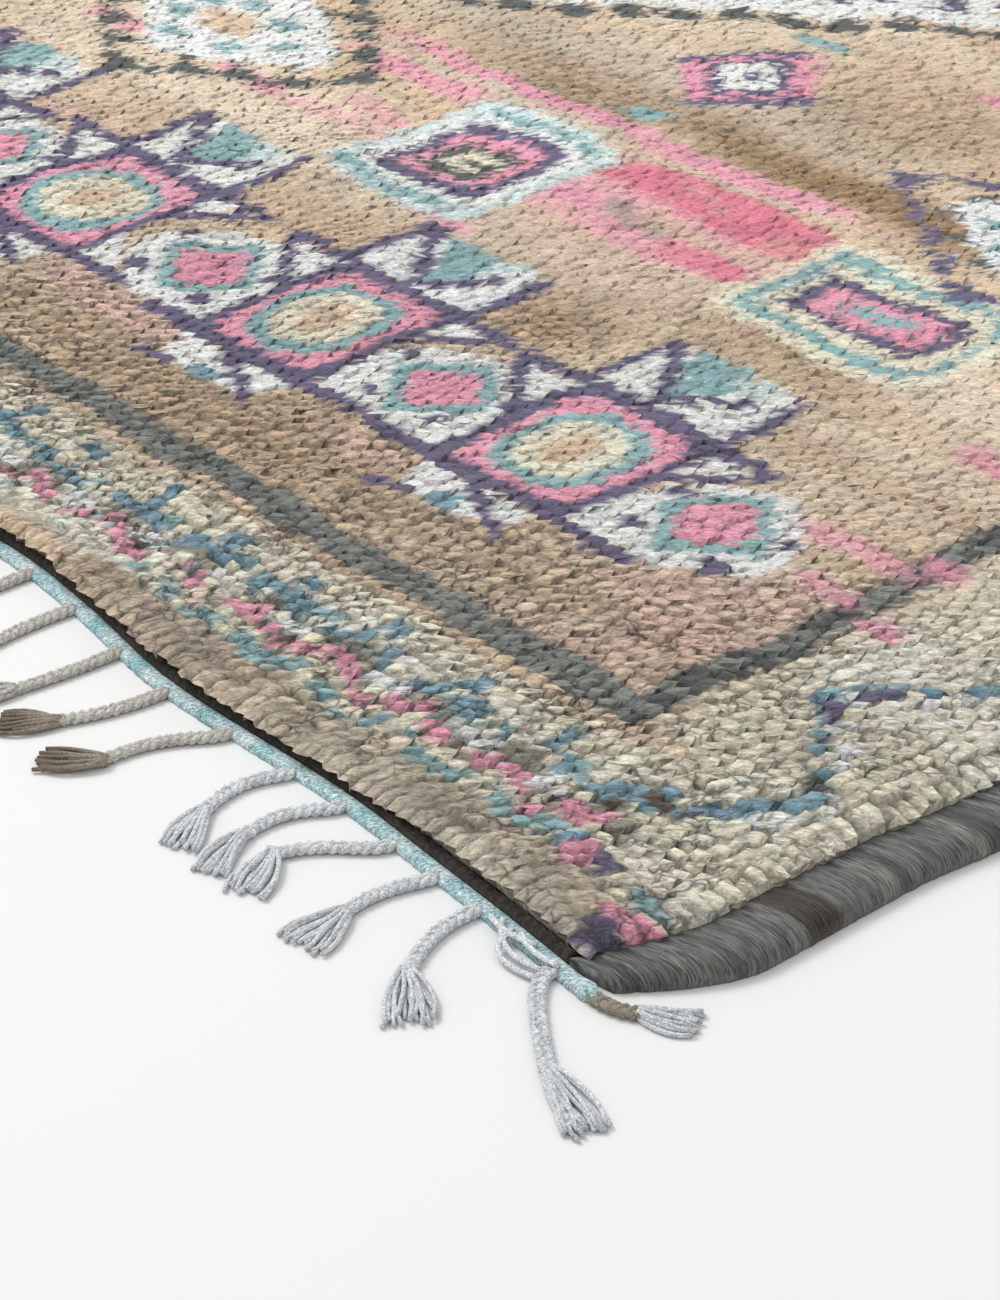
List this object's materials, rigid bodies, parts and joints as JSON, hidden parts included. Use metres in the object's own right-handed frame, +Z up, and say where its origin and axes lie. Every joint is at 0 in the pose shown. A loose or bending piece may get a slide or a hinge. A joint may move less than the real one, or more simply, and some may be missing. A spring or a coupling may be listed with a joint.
{
  "type": "boujaad rug",
  "caption": "Hand-knotted wool rug with a deep pile, wrapped selvedges and braided fringe at both ends, lying flat.",
  "frame": {"origin": "middle of the pile slab's underside, on the surface that the rug lies on", "axes": "+X across the rug towards the pictured selvedge, +Y along the rug away from the pictured fringe, +Z up"},
  "size_m": [1.6649, 2.6964, 0.0272],
  "materials": {
    "wool_pile": "deep hand-knotted wool pile",
    "selvedge_wrap": "close grey wool wrapping",
    "twined_band": "dark brown twined wool",
    "woven_strip": "teal flat weave with off-white cotton braids"
  },
  "bodies": {
    "root": {"pile_body": "wool_pile", "selvedge_right": "selvedge_wrap", "selvedge_left": "selvedge_wrap", "dark_band_front": "twined_band", "dark_band_back": "twined_band", "fringe_front": "woven_strip", "fringe_back": "woven_strip"}
  },
  "joints": []
}
